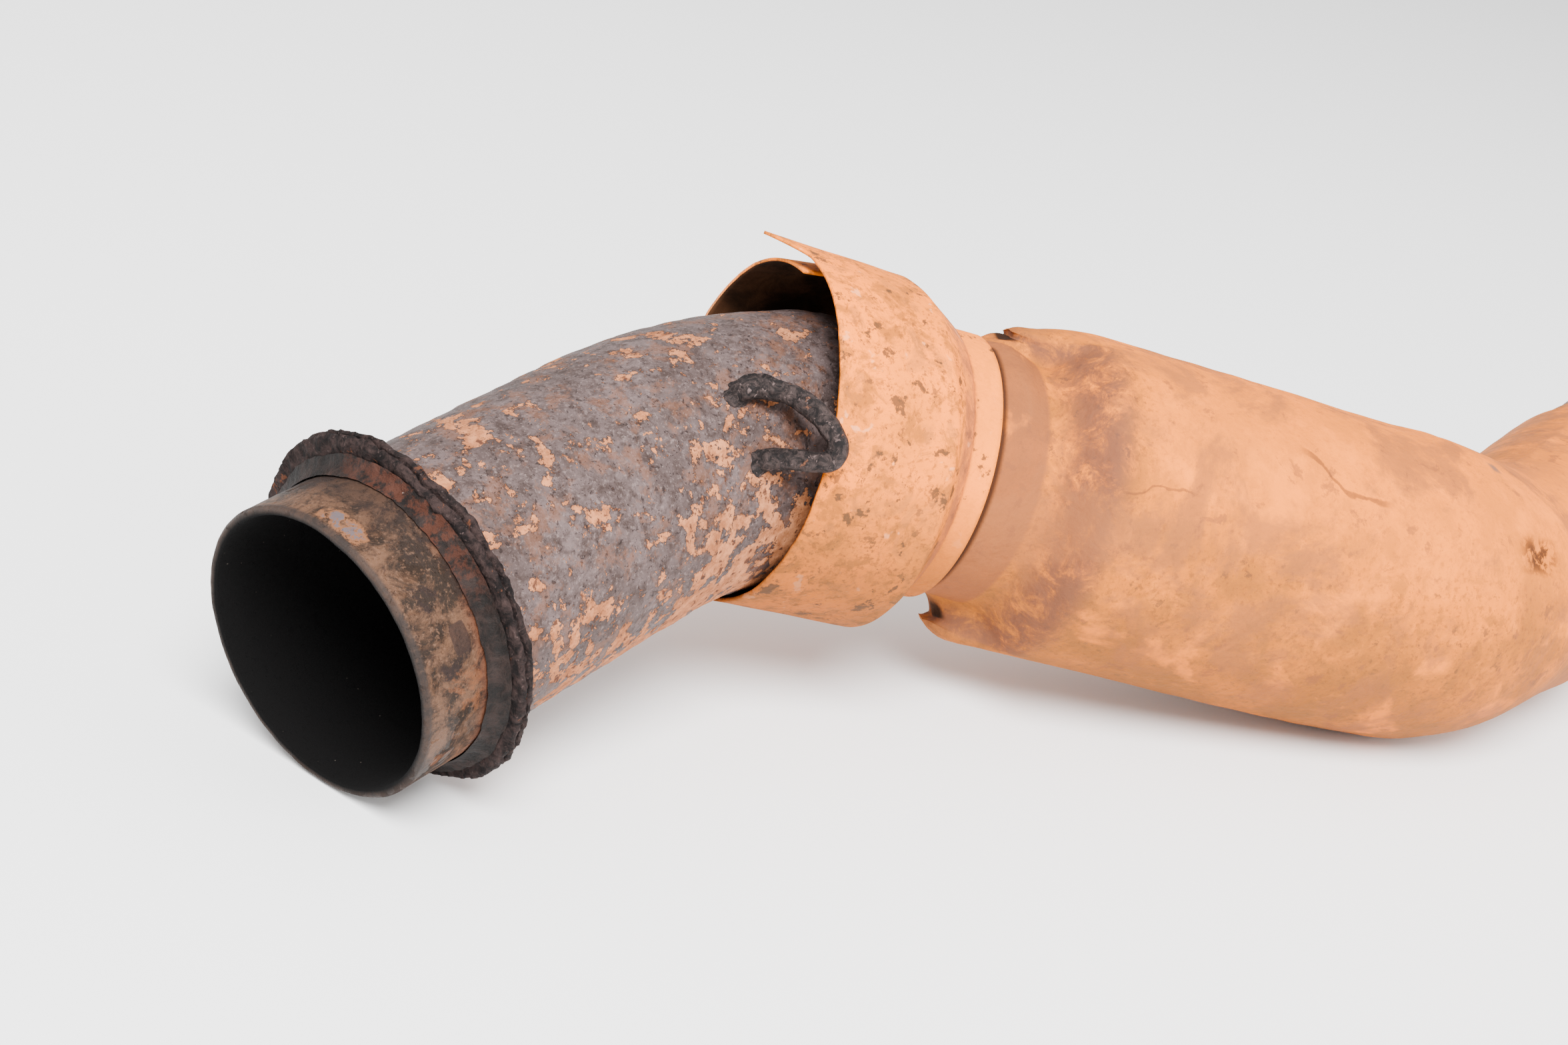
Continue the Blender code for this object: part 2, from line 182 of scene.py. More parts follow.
def thicken(sheet, thickness, offset, inner=0):
    """Give an open sheet its wall; inner counts on to the material of the inside."""
    wall = sheet.modifiers.new("wall", "SOLIDIFY")
    wall.thickness = thickness
    wall.offset = offset
    wall.material_offset = inner


def finish_piece(piece, node, material):
    piece.data.materials.append(material)
    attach(piece, "root")
    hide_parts(node)
    return piece


def spread(start, end, step):
    """Evenly spaced numbers from start to end, about a step apart."""
    count = max(1, round((end - start) / step))
    return [start + (end - start) * number / count for number in range(count + 1)]


# %% [markdown]
# ## Material helpers
# Rust, scale and heat stain all grow as patches within patches.
# Each material is therefore built from a few noises of different sizes, cut by ramps into patches
# with crisp or soft edges, and the same patches drive colour, roughness and relief together.

# %% Node helpers
class Look:
    """Builds one material's nodes, with short names for the steps that are used again and again."""

    def __init__(self, name):
        self.material = bpy.data.materials.new(name)
        self.material.use_nodes = True
        self.tree = self.material.node_tree
        self.shader = self.tree.nodes["Principled BSDF"]
        self.coords = self.tree.nodes.new("ShaderNodeTexCoord").outputs["Object"]
        where = self.tree.nodes.new("ShaderNodeAttribute")
        where.attribute_name = "where"
        split = self.tree.nodes.new("ShaderNodeSeparateXYZ")
        self.tree.links.new(where.outputs["Vector"], split.inputs[0])
        self.station, self.top, self.far = split.outputs

    def put(self, socket, value):
        if isinstance(value, bpy.types.NodeSocket):
            self.tree.links.new(value, socket)
        elif isinstance(value, tuple) and len(value) == 3 and socket.type == "RGBA":
            socket.default_value = (*value, 1.0)
        else:
            socket.default_value = value

    def math(self, operation, first, second=0.0, clamp=False):
        node = self.tree.nodes.new("ShaderNodeMath")
        node.operation = operation
        node.use_clamp = clamp
        self.put(node.inputs[0], first)
        self.put(node.inputs[1], second)
        return node.outputs[0]

    def times(self, first, second):
        return self.math("MULTIPLY", first, second)

    def plus(self, first, second):
        return self.math("ADD", first, second)

    def inverse(self, mask):
        return self.math("SUBTRACT", 1.0, mask)

    def noise(self, size, detail=6.0, roughness=0.55, distortion=0.0, offset=0.0):
        """Noise with features of about the given size in metres; another offset gives another pattern."""
        source = self.coords
        if offset:
            mapping = self.tree.nodes.new("ShaderNodeMapping")
            mapping.inputs["Location"].default_value = (offset, offset * 0.7, offset * 1.3)
            self.put(mapping.inputs["Vector"], source)
            source = mapping.outputs[0]
        node = self.tree.nodes.new("ShaderNodeTexNoise")
        node.inputs["Scale"].default_value = 1 / size
        node.inputs["Detail"].default_value = detail
        node.inputs["Roughness"].default_value = roughness
        node.inputs["Distortion"].default_value = distortion
        self.put(node.inputs["Vector"], source)
        return node.outputs["Fac"]

    def crease_shade(self, start, end, first, last, width):
        """A thin line of painted shade along a crease, from one station to another, curving from one angle
        in degrees to the next.
        """
        degrees = self.math("DEGREES", self.math("ARCTAN2", self.far, self.top))
        way = self.step(self.station, start, start + (end - start) * 0.55)
        wobble = self.times(self.math("SUBTRACT", self.noise(0.004, 3), 0.5), 5.0)
        line = self.plus(self.between(way, first, last), wobble)
        off = self.math("ABSOLUTE", self.math("SUBTRACT", degrees, line))
        return self.times(self.step(off, width, width * 0.4), self.band(start, end, 2.0))

    def step(self, value, low, high):
        """0 below low, 1 above high, and smooth between them."""
        node = self.tree.nodes.new("ShaderNodeMapRange")
        node.interpolation_type = "SMOOTHSTEP"
        self.put(node.inputs["Value"], value)
        node.inputs["From Min"].default_value = low
        node.inputs["From Max"].default_value = high
        return node.outputs["Result"]

    def band(self, start, end, soft):
        """1 between two stations in millimetres, and 0 beyond them."""
        rise = self.step(self.station, start - soft, start + soft)
        fall = self.step(self.station, end - soft, end + soft)
        return self.math("SUBTRACT", rise, fall, clamp=True)

    def facing(self, degrees, width):
        """1 on the side of the pipe at an angle from the top, falling to 0 away from it."""
        angle = math.radians(degrees)
        along = self.times(self.top, math.cos(angle))
        across = self.times(self.far, math.sin(angle))
        edge = math.cos(math.radians(width))
        return self.step(self.plus(along, across), edge, 1.0)

    def mix(self, share, first, second):
        """The first colour where the share is 0, and the second where it is 1."""
        node = self.tree.nodes.new("ShaderNodeMix")
        node.data_type = "RGBA"
        self.put(node.inputs["Factor"], share)
        self.put(node.inputs[6], first)
        self.put(node.inputs[7], second)
        return node.outputs[2]

    def cover(self, under, mask, amount, paint):
        """A colour laid over another one, as thick as the amount where the mask is 1."""
        return self.mix(self.times(mask, amount), under, paint)

    def between(self, share, first, second):
        """As mix, for plain numbers."""
        node = self.tree.nodes.new("ShaderNodeMix")
        node.data_type = "FLOAT"
        self.put(node.inputs["Factor"], share)
        self.put(node.inputs[2], first)
        self.put(node.inputs[3], second)
        return node.outputs[0]

    def relief(self, height, distance, strength=1.0):
        """Bumps as high as the distance, in metres, where the height goes from 0 to 1."""
        node = self.tree.nodes.new("ShaderNodeBump")
        node.inputs["Strength"].default_value = strength
        node.inputs["Distance"].default_value = distance
        self.put(node.inputs["Height"], height)
        return node.outputs[0]

    def done(self, colour, roughness, normal, shine=0.12):
        """Join it all to the shader; the shine is low, because rust and soot hardly gloss."""
        self.put(self.shader.inputs["Base Color"], colour)
        self.put(self.shader.inputs["Roughness"], roughness)
        self.put(self.shader.inputs["Normal"], normal)
        self.put(self.shader.inputs["Specular IOR Level"], shine)
        print(self.material.name, len(self.tree.nodes), "nodes")
        return self.material


# %% [markdown]
# ## The scaled tube
# The front leg ran red hot in the open, so it carries a hard skin of grey-violet scale.
# Where that skin has flaked off, fresh orange-tan rust shows with a crisp broken edge: in streaks
# behind the ring, in small chips along the leg, and in wide sheets low down by the shield.
# The bore is sooted nearly black, and the stub in front of the ring is mottled brown.

# %% The tube's material
def flaking(look):
    """How ready the scale is to flake: a ragged noise, helped along in four places."""
    ragged = look.noise(0.0056, 10, 0.66, 0.15, 1.0)
    clumps = look.noise(0.022, 2, 0.5, 0.0, 2.0)
    low_side = look.times(look.facing(-135, 75), 0.085)
    by_ring = look.times(look.times(look.band(19, 44, 7), look.facing(-5, 62)), 0.045)
    by_shield = look.times(look.times(look.band(66, 112, 18), look.facing(-112, 66)), 0.046)
    by_hanger = look.times(look.times(look.band(83, 96, 4), look.facing(-52, 16)), 0.09)
    share = look.plus(look.times(ragged, 0.88), look.times(clumps, 0.19))
    for bias in (low_side, by_ring, by_shield, by_hanger):
        share = look.plus(share, bias)
    return share


def stub_paint(look, blotch, speck):
    """The mottled brown of the stub in front of the ring, layer over layer."""
    stub = look.mix(look.step(blotch, 0.45, 0.62), (0.015, 0.009, 0.006), (0.092, 0.045, 0.025))
    stub = look.cover(stub, look.step(speck, 0.52, 0.70), 0.6, (0.135, 0.072, 0.044))
    smears = look.step(look.noise(0.0045, 9, 0.74, 0.4, 9.0), 0.54, 0.64)
    stub = look.cover(stub, smears, 0.85, (0.014, 0.008, 0.007))
    streak = look.step(look.noise(0.0060, 7, 0.7, 0.4, 13.0), 0.54, 0.62)
    orange = look.times(look.facing(-100, 42), streak)
    stub = look.cover(stub, orange, 0.6, (0.150, 0.052, 0.020))
    grime = look.times(look.facing(24, 70), look.step(look.station, 4.0, 10.0))
    stub = look.cover(stub, grime, 0.72, (0.020, 0.013, 0.011))
    patch = look.times(look.band(1.4, 4.8, 1.2), look.facing(-9, 14))
    patch = look.times(patch, look.step(look.noise(0.003, 8, 0.74, 0.3, 15.0), 0.30, 0.62))
    stub = look.mix(look.step(patch, 0.16, 0.30), stub, (0.150, 0.062, 0.028))
    stub = look.mix(look.step(patch, 0.36, 0.56), stub, (0.086, 0.066, 0.070))
    chip = look.times(look.band(7.4, 10.6, 0.8), look.facing(-66, 8))
    chip = look.plus(chip, look.times(look.noise(0.002, 4, 0.6), 0.5))
    stub = look.cover(stub, look.step(chip, 0.62, 0.70), 0.8, (0.020, 0.011, 0.009))
    rust = look.times(look.step(look.station, 10.0, 14.0), look.facing(-85, 70))
    foot = look.mix(look.step(blotch, 0.42, 0.58), (0.012, 0.005, 0.004), (0.088, 0.026, 0.012))
    stub = look.cover(stub, rust, 0.85, foot)
    lip = look.inverse(look.step(look.station, 0.5, 1.4))
    stub = look.cover(stub, lip, 0.8, (0.022, 0.016, 0.014))
    return stub


def scaled_steel():
    look = Look("scaled_steel")
    wide = look.noise(0.014, 8, 0.66, 0.3)
    fine = look.noise(0.0026, 10, 0.76, 0.2)
    speck = look.noise(0.0007, 4, 0.7)
    violet = look.mix(look.step(wide, 0.36, 0.64), (0.064, 0.044, 0.041), (0.106, 0.075, 0.072))
    scale = look.mix(look.step(fine, 0.36, 0.60), (0.036, 0.023, 0.020), violet)
    scale = look.cover(scale, look.step(speck, 0.52, 0.70), 0.50, (0.21, 0.155, 0.145))
    warm = look.step(look.noise(0.0060, 7, 0.70, 0.3, 4.0), 0.50, 0.60)
    scale = look.cover(scale, warm, 0.40, (0.16, 0.062, 0.030))
    pits = look.step(look.noise(0.0010, 3, 0.7, 0.4, 3.0), 0.60, 0.68)
    scale = look.cover(scale, pits, 0.75, (0.016, 0.010, 0.009))

    share = flaking(look)
    chips = look.step(look.noise(0.0026, 7, 0.70, 0.1, 17.0), 0.628, 0.638)
    flaked = look.math("MAXIMUM", look.step(share, 0.612, 0.620), chips)
    edge = look.step(share, 0.582, 0.612)
    tan = look.mix(look.step(fine, 0.35, 0.66), (0.24, 0.082, 0.032), (0.46, 0.180, 0.080))
    dark = look.step(look.noise(0.0016, 3, 0.6, 0.0, 5.0), 0.56, 0.66)
    tan = look.mix(dark, tan, (0.085, 0.032, 0.018))
    # A dark rim round each flaked patch: partly the scale's own dark broken edge, partly painted shadow of
    # the step down to the rust.
    rim = look.cover(scale, edge, 0.60, (0.024, 0.013, 0.010))
    front = look.mix(flaked, rim, tan)

    blotch = look.noise(0.0080, 10, 0.74, 0.6, 7.0)
    stub = stub_paint(look, blotch, speck)
    bare = look.mix(look.step(blotch, 0.35, 0.65), (0.16, 0.075, 0.042), (0.30, 0.135, 0.075))
    rusted = look.step(look.noise(0.0045, 7, 0.68, 0.4, 11.0), 0.585, 0.63)
    bare = look.mix(rusted, bare, (0.07, 0.030, 0.018))
    is_stub = look.inverse(look.step(look.station, 16.0, 18.0))
    is_tail = look.step(look.station, 118, 124)
    colour = look.mix(is_stub, front, stub)
    colour = look.mix(is_tail, colour, bare)

    inside = look.tree.nodes.new("ShaderNodeAttribute")
    inside.attribute_name = "inside"
    flecks = look.step(look.noise(0.0011, 3, 0.5), 0.74, 0.77)
    soot = look.mix(flecks, (0.0016, 0.0014, 0.0014), (0.060, 0.050, 0.042))
    colour = look.mix(inside.outputs["Fac"], colour, soot)

    sunk = look.times(look.times(flaked, look.step(look.station, 17, 19)), -0.8)
    height = look.plus(sunk, look.times(fine, 0.55))
    height = look.plus(height, look.times(speck, 0.22))
    height = look.math("SUBTRACT", height, look.times(pits, 0.35))
    normal = look.relief(height, 0.00050, 0.85)
    roughness = look.between(flaked, 0.52, 0.88)
    roughness = look.between(inside.outputs["Fac"], roughness, 0.95)
    return look.done(colour, roughness, normal)


# %% [markdown]
# The tube is rolled as one closed skin: along the outside, over the cut edge, and back down the bore.
# The exposed front gets fine rows, because its scale stands in real low mounds, and the part that
# the shields hide gets few.

# %% The tube
PIPE_RADIUS = 0.0253
NARROW_RADIUS = 0.0236
WALL = 0.0016
EDGE = 0.0004


def pipe_radius(station):
    """The tube's outer radius, which narrows under the shields."""
    share = smoothstep((station - 0.112) / 0.016)
    return PIPE_RADIUS + (NARROW_RADIUS - PIPE_RADIUS) * share


def tube_rows():
    """Each row's station, its depth under the outer skin, and whether it lies in the bore."""
    outer = spread(EDGE, 0.116, 0.0010)
    outer += spread(0.120, LENGTH - 0.034, 0.006)
    outer += spread(LENGTH - 0.032, LENGTH - EDGE, 0.0018)
    skin = [(station, 0.0, False) for station in outer]
    skin += [(LENGTH, EDGE, False), (LENGTH, WALL - 0.0003, True)]
    skin += [(station, WALL, True) for station in spread(LENGTH - EDGE, EDGE, -0.006)]
    skin += [(0.0, WALL - 0.0003, True), (0.0, EDGE, False)]
    return skin


def make_tube():
    skin = tube_rows()
    frames = [frame_at(station) for station, _, _ in skin]
    columns = 208

    def place(row, column):
        station, depth, bore = skin[row % len(skin)]
        angle = -ring_angle(column, columns)
        base = frames[row % len(skin)]
        spot = around(base, PIPE_RADIUS, angle)
        radius = pipe_radius(station) - depth
        if not bore:
            scaled = smoothstep((station - 0.020) / 0.004) * (1 - smoothstep((station - 0.114) / 0.006))
            radius += 0.00010 * rough(spot, 0.012) + scaled * 0.00022 * rough(spot, 0.0042, 4)
        shift = 0.0
        if station < 0.001:
            shift = 0.00012 * rough(spot, 0.004)
        return around(base, radius, angle, shift), station, angle

    tube = rolled("tube_skin", len(skin), columns, place, weld=True, sharp=60)
    inside = tube.data.attributes.new("inside", "FLOAT", "POINT")
    where = tube.data.attributes["where"]
    for vertex, flag in zip(tube.data.vertices, inside.data):
        station = where.data[vertex.index].vector[0] / 1000
        base = line_matrix(station).inverted() @ vertex.co
        gap = pipe_radius(station) - math.hypot(base.y, base.z)
        flag.value = smoothstep((gap - 0.0006) / 0.0006)
    return tube


finish_piece(make_tube(), "pipe", scaled_steel())

# %% [markdown]
# ## The rotted seat ring
# The ring was flat plate, but rust has split it into leaves, and its rim has crumbled to a
# ragged edge that stands out further on the upper far side and in one chunk low on the near side.
# A closed band follows that ragged outline, with a groove along the rim where the leaves part.

# %% The ring's material
def rotten_plate():
    look = Look("rotten_plate")
    grit = look.noise(0.0022, 8, 0.7, 0.4)
    fine = look.noise(0.0008, 4, 0.65)
    colour = look.mix(look.step(grit, 0.38, 0.66), (0.005, 0.0035, 0.0035), (0.036, 0.022, 0.020))
    colour = look.mix(look.step(fine, 0.60, 0.74), colour, (0.070, 0.047, 0.043))
    rust = look.step(look.noise(0.0034, 7, 0.68, 0.3, 2.0), 0.62, 0.66)
    colour = look.cover(colour, rust, 0.8, (0.11, 0.038, 0.018))
    height = look.plus(grit, look.times(fine, 0.3))
    return look.done(colour, 0.80, look.relief(height, 0.0011))


# %% The seat ring
CLEARANCE = 0.0003
RING_STATION = 0.0156
RING_THICKNESS = 0.0030
RIM = [
    (0, 30.1), (17, 30.6), (33, 29.5), (44, 29.3), (60, 29.5), (75, 29.1), (90, 29.7), (105, 30.3),
    (120, 29.8), (135, 30.5), (150, 29.8), (165, 30.2), (181, 30.6), (193, 31.1), (204, 31.4), (213, 31.2),
    (223, 30.9), (233, 30.8), (240, 30.1), (248, 29.7), (257, 28.6), (268, 29.0), (279, 29.6), (299, 29.9),
    (319, 30.2), (329, 30.0), (341, 30.3), (350, 29.9), (360, 30.1),
]


def rim_radius(degrees):
    """The rim's radius at an angle, read between the listed spots of degrees and millimetres."""
    after = next(index for index, spot in enumerate(RIM) if spot[0] > degrees % 360)
    (start, low), (end, high) = RIM[after - 1], RIM[after]
    return (low + (high - low) * (degrees % 360 - start) / (end - start)) / 1000


def make_ring():
    front = [(0.12 * step, 0.0) for step in range(8)]
    rim = [(0.94, 0.06), (1.0, 0.24), (0.97, 0.40), (0.86, 0.50), (0.96, 0.60), (1.0, 0.76), (0.94, 0.94)]
    back = [(0.84, 1.0), (0.60, 1.0), (0.30, 1.0), (0.0, 1.0), (0.0, 0.5)]
    profile = front + rim + back
    columns = 360
    bore = PIPE_RADIUS + CLEARANCE
    here = line_matrix(RING_STATION)

    def place(row, column):
        reach, depth = profile[row % len(profile)]
        degrees = 360 * (column % columns) / columns
        angle = math.radians(degrees)
        edge = Vector((math.cos(angle), math.sin(angle), depth * 0.05)) * 0.03
        teeth = 0.00040 * rough(edge, 0.0034, 4) - 0.00055 * max(0.0, rough(edge * 1.7, 0.0016, 2))
        parting = 0.5 + 0.5 * rough(edge, 0.016, 2)
        if abs(depth - 0.5) < 0.01 and reach > 0.5:
            reach -= 0.30 * max(0.0, parting)
        radius = bore + (rim_radius(degrees) + teeth * smoothstep(reach * 1.6) - bore) * reach
        spot = Vector((radius * math.cos(angle), radius * math.sin(angle), depth * 0.003))
        worn = smoothstep(reach * 3) * (0.00042 * rough(spot, 0.0030, 4) + 0.00022 * rough(spot, 0.0012, 2))
        leaves = 0.0006 * (depth - 0.5) * bump(degrees, 262, 30) * reach * 2
        along = RING_THICKNESS * depth + worn + leaves
        point = here @ Vector((along, radius * math.cos(angle), radius * math.sin(angle)))
        return point, RING_STATION + along, angle

    return rolled("seat_ring_rust", len(profile), columns, place, weld=True, sharp=55)


finish_piece(make_ring(), "seat_ring", rotten_plate())

# %% [markdown]
# ## The weld bead
# A welder ran one fillet round the corner between tube and ring.
# It has gone nearly black, with red-brown rust on the near side and a few painted pale highlights there,
# where the bead is also glossier.
# Its face is hollow between two toes, and it swells a little at each step of the torch.

# %% The weld
def weld_rust():
    look = Look("weld_rust")
    patch = look.noise(0.0032, 7, 0.68, 0.4)
    colour = look.mix(look.step(patch, 0.40, 0.64), (0.005, 0.0035, 0.003), (0.020, 0.012, 0.010))
    side = look.facing(-100, 48)
    red = look.times(look.step(look.noise(0.0030, 7, 0.7, 0.0, 4.0), 0.44, 0.55), side)
    colour = look.cover(colour, red, 0.75, (0.062, 0.019, 0.010))
    # Painted highlights: pale glints on the near side, where the roughness also drops.
    painted_glint = look.times(look.step(look.noise(0.0016, 4, 0.6, 0.5, 8.0), 0.70, 0.76), side)
    colour = look.cover(colour, painted_glint, 0.6, (0.32, 0.25, 0.22))
    return look.done(colour, look.between(painted_glint, 0.62, 0.25), look.relief(patch, 0.0014), 0.16)


def make_weld():
    face = [(0.0, 1.0), (0.10, 0.72), (0.26, 0.44), (0.48, 0.24), (0.74, 0.10), (1.0, 0.0)]
    back = [(0.5, 0.0), (0.0, 0.0), (0.0, 0.5)]
    profile = face + back
    columns = 240
    here = line_matrix(RING_STATION)

    def place(row, column):
        out, front = profile[row % len(profile)]
        angle = ring_angle(column, columns)
        ripple = 1 + 0.025 * math.sin(58 * angle + 2 * math.sin(3 * angle))
        spot = Vector((math.cos(angle), math.sin(angle), 0)) * 0.03
        ripple += 0.13 * rough(spot, 0.005)
        radius = PIPE_RADIUS + CLEARANCE + 0.0025 * out * ripple
        along = -CLEARANCE - 0.0027 * front * ripple
        point = here @ Vector((along, radius * math.cos(angle), radius * math.sin(angle)))
        return point, RING_STATION + along, angle

    return rolled("ring_weld_bead", len(profile), columns, place, weld=True, sharp=70)


finish_piece(make_weld(), "ring_weld", weld_rust())

# %% [markdown]
# ## The wire hanger
# The hanger is one piece of 4 mm wire, bent to a narrow U and welded down by both ends.
# Its scale has come away in long fibres, so the wire is drawn with ridges along it and a
# thickness that wanders.

# %% The hanger's material
def scaled_wire():
    look = Look("scaled_wire")
    flaky = look.noise(0.0016, 7, 0.7, 0.8)
    colour = look.mix(look.step(flaky, 0.40, 0.66), (0.006, 0.004, 0.004), (0.050, 0.034, 0.031))
    pale = look.step(look.noise(0.0010, 4, 0.6, 0.5, 3.0), 0.60, 0.70)
    colour = look.mix(pale, colour, (0.115, 0.078, 0.072))
    rust = look.step(look.noise(0.0030, 5, 0.6, 0.0, 6.0), 0.64, 0.70)
    colour = look.mix(rust, colour, (0.17, 0.062, 0.030))
    return look.done(colour, 0.66, look.relief(flaky, 0.0010), 0.22)


# %% The hanger
WIRE_RADIUS = 0.0020
WORN_RADIUS = 0.00188
HANGER_START = 0.0820
HANGER_REACH = 0.0126
HANGER_HEIGHT = 0.0080
HANGER_TOP = math.radians(-37)
HANGER_LOW = math.radians(-68)
HANGER = [
    (0.10, -0.05, -0.75), (0.18, -0.03, -0.26), (0.32, 0.01, -0.02), (0.50, 0.09, 0.08), (0.78, 0.29, 0.36),
    (0.92, 0.58, 0.74), (1.00, 0.84, 1.00), (0.90, 0.99, 0.94), (0.66, 0.99, 0.68), (0.40, 0.92, 0.30),
    (0.24, 0.88, -0.02), (0.12, 0.86, -0.30), (0.02, 0.85, -0.80),
]


def hanger_line(steps):
    """The wire's middle line, smooth through the listed spots of reach, fan and height."""
    foot = PIPE_RADIUS + CLEARANCE + WIRE_RADIUS
    points = []
    for along, fan, height in HANGER:
        here = frame_at(HANGER_START + HANGER_REACH * along)
        angle = HANGER_TOP + (HANGER_LOW - HANGER_TOP) * fan
        points.append(around(here, foot + HANGER_HEIGHT * height, angle))
    line = []
    for here in range(len(points) - 1):
        before, start, end = points[max(here - 1, 0)], points[here], points[here + 1]
        after = points[min(here + 2, len(points) - 1)]
        for step in range(steps):
            t = step / steps
            spot = 2 * start + (end - before) * t + (2 * before - 5 * start + 4 * end - after) * t * t
            spot += (3 * start - before - 3 * end + after) * t * t * t
            line.append(spot / 2)
    line.append(points[-1])
    return line


def make_hanger():
    line = hanger_line(9)
    columns = 40
    side = (line[1] - line[0]).normalized().orthogonal().normalized()
    frames = []
    for number, spot in enumerate(line):
        along = (line[min(number + 1, len(line) - 1)] - line[max(number - 1, 0)]).normalized()
        side = (side - along * side.dot(along)).normalized()
        frames.append((spot, side.copy(), along.cross(side), along))
    rows = [(0, 0.02)] + [(number, 1.0) for number in range(len(line))] + [(len(line) - 1, 0.02)]

    def place(row, column):
        number, share = rows[row]
        spot, side, other, along = frames[number]
        angle = ring_angle(column, columns)
        way = side * math.cos(angle) + other * math.sin(angle)
        ridge = 0.00022 * rough(Vector((angle * 0.0022, number * 0.00012, 1.0)), 0.0010, 3)
        lump = 0.00022 * rough(spot, 0.0035, 3)
        return spot + way * (WORN_RADIUS + ridge + lump) * share, 0.09, 0.0

    return rolled("hanger_wire", len(rows) - 1, columns, place, weld=True, sharp=70)


wire_look = scaled_wire()
finish_piece(make_hanger(), "hanger", wire_look)

# %% [markdown]
# By each foot the tube's skin has burst into a curled leaf of scale, and the foot itself sits in
# a small rough pad of weld.
# A leaf is a thin strip with a torn outline, lifted most at its middle; a pad is a low lump that
# runs out to nothing on the tube.

# %% Lifted scale and weld pads
def make_leaf(name, station, degrees, length, width, lift, seed):
    rows, columns = 26, 12

    def place(row, column):
        along, across = row / rows, column / columns - 0.5
        torn = 1 + 0.16 * rough(Vector((along * 9, seed, 0)) * 0.01, 0.01, 2)
        half = width * torn * math.sin(math.pi * (0.06 + 0.88 * along)) ** 0.7
        here = station + length * along
        angle = math.radians(degrees) - 0.14 * along
        angle += across * half / PIPE_RADIUS
        curl = lift * math.sin(math.pi * along) ** 1.3 * (0.55 + 0.9 * (across + 0.5))
        curl += 0.0003 * rough(Vector((along * 0.02, across * 0.01, seed)), 0.004, 2)
        return around(frame_at(here), PIPE_RADIUS + 0.00005 + curl, angle), here, angle

    leaf = rolled(name, rows, columns, place, weld=False, sharp=50)
    thicken(leaf, 0.00035, 0.0)
    finish_piece(leaf, "hanger", wire_look)


def make_pad(name, station, degrees, length, width, seed):
    rows, columns = 16, 36

    def place(row, column):
        out = row / rows
        angle = ring_angle(column, columns)
        spot = Vector((math.cos(angle), math.sin(angle), seed * 3.7))
        edge = 1 + 0.22 * rough(spot * 0.01, 0.008, 2)
        here = station + length * out * edge * math.cos(angle)
        turned = math.radians(degrees) + width * out * edge * math.sin(angle) / PIPE_RADIUS
        height = 0.0013 * (1 - out ** 2) - 0.0003
        height += 0.00035 * rough(spot * 0.01 * (0.3 + out), 0.004, 2) * (1 - out)
        return around(frame_at(here), PIPE_RADIUS + height, turned), here, turned

    pad = rolled(name, rows, columns, place, weld=True, sharp=60)
    thicken(pad, 0.0003, -1.0)
    finish_piece(pad, "hanger", wire_look)


make_leaf("scale_leaf_upper", 0.0834, -32, length=0.0125, width=0.0034, lift=0.0012, seed=1)
make_leaf("scale_leaf_low", 0.0815, -61, length=0.0085, width=0.0036, lift=0.0009, seed=3)
make_pad("weld_pad_upper", 0.0836, -37, length=0.0034, width=0.0024, seed=1)
make_pad("weld_pad_low", 0.0832, -65, length=0.0036, width=0.0026, seed=2)

# %% [markdown]
# ## The heat shields
# Both shields are thin sheet that heat has turned peach and tan, with brown stains and small
# dark spots, and a few pinkish places on the front one.
# One function makes both sheets' materials, each with its own stains, painted shade and painted light
# placed by station and side.
# The far side is painted paler as painted light against its shade, and a second, sooted material lies on
# the inside.

# %% The sheet's material
def tan_sheet(name, light, shade, stains_light_and_shade):
    """A heat-tinted sheet in two base colours, with the stains, painted shade and painted light that a
    function lists for it.
    """
    look = Look(name)
    cloud = look.noise(0.030, 5, 0.58, 0.4)
    mottle = look.noise(0.0060, 10, 0.72, 0.5, 1.0)
    fine = look.noise(0.0012, 6, 0.70)
    colour = look.mix(look.step(cloud, 0.36, 0.64), shade, light)
    colour = look.cover(colour, look.step(mottle, 0.48, 0.60), 0.72, (0.30, 0.092, 0.014))
    colour = look.cover(colour, look.step(mottle, 0.48, 0.32), 0.40, (0.90, 0.225, 0.012))
    colour = look.cover(colour, look.step(fine, 0.51, 0.64), 0.62, (0.20, 0.062, 0.014))
    spots = look.step(look.noise(0.0034, 8, 0.72, 0.0, 5.0), 0.60, 0.64)
    colour = look.cover(colour, spots, 0.70, (0.115, 0.048, 0.022))
    for mask, tint, amount in stains_light_and_shade(look, mottle):
        colour = look.cover(colour, mask, amount, tint)
    # Painted light: the far side, away from the lamps, is painted paler to lift the shade it lies in.
    far_side_painted_light = look.times(look.facing(112, 90), look.between(look.step(mottle, 0.35, 0.60), 0.66, 0.44))
    colour = look.mix(far_side_painted_light, colour, (0.54, 0.27, 0.140))
    crinkle = look.noise(0.012, 4, 0.55, 0.2, 8.0)
    grain = look.noise(0.0034, 5, 0.6, 0.4, 10.0)
    height = look.plus(crinkle, look.times(grain, 0.34))
    height = look.plus(height, look.times(fine, 0.16))
    return look.done(colour, 0.60, look.relief(height, 0.0014, 0.75), 0.04)


def sooted_sheet():
    look = Look("sooted_sheet")
    soot = look.noise(0.010, 6, 0.6, 0.3)
    colour = look.mix(look.step(soot, 0.36, 0.66), (0.018, 0.008, 0.004), (0.075, 0.031, 0.014))
    return look.done(colour, 0.75, look.relief(soot, 0.0008, 0.6))


